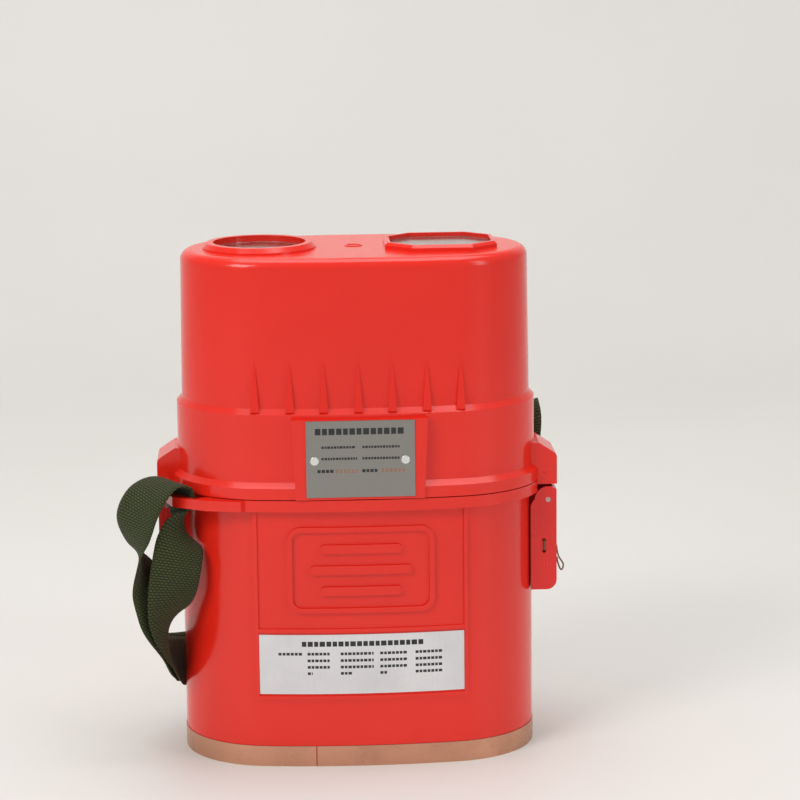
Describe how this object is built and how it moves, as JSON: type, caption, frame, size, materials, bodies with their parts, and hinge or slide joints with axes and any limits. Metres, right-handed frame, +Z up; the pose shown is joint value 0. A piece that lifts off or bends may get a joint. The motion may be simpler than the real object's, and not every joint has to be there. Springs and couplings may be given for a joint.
{
  "type": "compressed oxygen self-rescuer",
  "caption": "Red plastic case with a lift-off cover, two windows, side opening levers and a webbing strap, holding an oxygen bottle, absorbent canister and breathing bag.",
  "frame": {"origin": "centre of the base on the plane the unit stands on", "axes": "+Z up towards the windows, -Y towards the nameplate side, +X towards the lever with the wire seal"},
  "size_m": [0.2231, 0.1187, 0.255],
  "materials": {
    "red_shell": "gloss",
    "red_lever": "gloss",
    "base_steel": "satin",
    "label_foil": "satin",
    "plate_steel": "satin",
    "rubber_black": "matte",
    "seal_rubber": "matte",
    "pin_steel": "satin",
    "deck_plastic": "matte",
    "bottle_paint": "gloss",
    "zinc_steel": "satin",
    "brass": "satin",
    "wheel_plastic": "matte",
    "anodised": "satin",
    "button_plastic": "gloss",
    "dial_face": "matte",
    "needle": "matte",
    "clear_glass": "gloss",
    "window_clear": "gloss",
    "tinplate": "satin",
    "felt": "matte",
    "granules": "matte",
    "bag_rubber": "matte",
    "hose_rubber": "matte",
    "valve_white": "matte",
    "silicone": "matte",
    "plug_red": "matte",
    "card": "matte",
    "webbing": "matte",
    "slider_plastic": "matte",
    "wire": "satin"
  },
  "bodies": {
    "lower_unit": {"lower_case": "red_shell", "base_band": "base_steel", "instruction_plate": "label_foil", "seal_gasket": "seal_rubber", "lever_pins": "pin_steel", "inner_deck": "deck_plastic", "oxygen_bottle": "bottle_paint", "foot_pads": "rubber_black", "bottle_clamp": "zinc_steel", "clamp_screw": "zinc_steel", "valve_body": "brass", "burst_plug": "brass", "reducer_body": "anodised", "reducer_cap": "anodised", "reducer_diaphragm": "rubber_black", "reducer_spring": "zinc_steel", "oxygen_tube": "brass", "gauge_stem": "brass", "gauge_case": "zinc_steel", "gauge_dial": "dial_face", "gauge_glass": "clear_glass", "absorbent_canister": "tinplate", "canister_lid": "tinplate", "filter_pads": "felt", "canister_screens": "zinc_steel", "absorbent_bed": "granules", "breathing_bag": "bag_rubber", "relief_valve_seat": "valve_white", "relief_valve_cap": "valve_white", "relief_spring": "zinc_steel", "breathing_hose": "hose_rubber", "clamp_bands": "zinc_steel", "mouthpiece_box": "valve_white", "check_valve_discs": "silicone", "mouthpiece": "silicone", "nose_clip_pin": "zinc_steel", "nose_clip_spring": "zinc_steel", "carry_strap": "webbing", "strap_slider": "slider_plastic"},
    "cover": {"upper_cover": "red_shell", "nameplate": "plate_steel", "nameplate_rivets": "pin_steel", "gauge_window": "window_clear", "card_window": "window_clear", "window_gaskets": "seal_rubber", "indicator_card": "card"},
    "right_lever": {"opening_lever_right": "red_lever", "seal_wire": "wire"},
    "left_lever": {"opening_lever_left": "red_lever"},
    "bottle_valve": {"handwheel": "wheel_plastic", "valve_spindle": "zinc_steel", "handwheel_nut": "zinc_steel"},
    "oxygen_button": {"supply_button": "button_plastic"},
    "needle": {"gauge_needle": "needle"},
    "relief_disc": {"relief_valve_disc": "silicone"},
    "plug": {"mouthpiece_plug": "plug_red"},
    "clip_left": {"nose_clip_arm_left": "zinc_steel", "nose_pad_left": "rubber_black"},
    "clip_right": {"nose_clip_arm_right": "zinc_steel", "nose_pad_right": "rubber_black"}
  },
  "joints": [
    {"name": "cover_lift", "type": "slide", "parent": "lower_unit", "child": "cover", "axis": [0, 0, 1], "range_m": [0, 0.16]},
    {"name": "right_lever_pull", "type": "hinge", "parent": "lower_unit", "child": "right_lever", "pos_m": [0.0948, 0, 0.125], "axis": [0, -1, 0], "range_deg": [0, 90]},
    {"name": "left_lever_pull", "type": "hinge", "parent": "lower_unit", "child": "left_lever", "pos_m": [-0.0948, 0, 0.125], "axis": [0, 1, 0], "range_deg": [0, 90]},
    {"name": "valve_turn", "type": "hinge", "parent": "lower_unit", "child": "bottle_valve", "pos_m": [-0.0465, -0.02, 0.176], "axis": [0, 1, 0], "range_deg": [0, 270]},
    {"name": "supply_press", "type": "slide", "parent": "lower_unit", "child": "oxygen_button", "axis": [0, 0, -1], "range_m": [0, 0.0018], "stiffness_N_per_m": 800, "springref_m": -0.001},
    {"name": "gauge_swing", "type": "hinge", "parent": "lower_unit", "child": "needle", "pos_m": [-0.0465, 0, 0.237], "axis": [0, 0, -1], "range_deg": [0, 240]},
    {"name": "relief_open", "type": "slide", "parent": "lower_unit", "child": "relief_disc", "axis": [0, -1, 0], "range_m": [0, 0.0007], "stiffness_N_per_m": 60, "springref_m": -0.002},
    {"name": "plug_pull", "type": "slide", "parent": "lower_unit", "child": "plug", "axis": [0, -1, 0], "range_m": [0, 0.0135]},
    {"name": "clip_open_left", "type": "hinge", "parent": "lower_unit", "child": "clip_left", "pos_m": [0.067, 0.002, 0.208], "axis": [0, 0, -1], "range_deg": [0, 12], "stiffness_Nm_per_rad": 0.05, "springref_deg": -17.19},
    {"name": "clip_open_right", "type": "hinge", "parent": "lower_unit", "child": "clip_right", "pos_m": [0.067, 0.002, 0.208], "axis": [0, 0, -1], "range_deg": [-12, 0], "stiffness_Nm_per_rad": 0.05, "springref_deg": 17.19}
  ],
  "couplings": [
    {"joint": "clip_open_right", "follows": "clip_open_left", "ratio": -1}
  ]
}
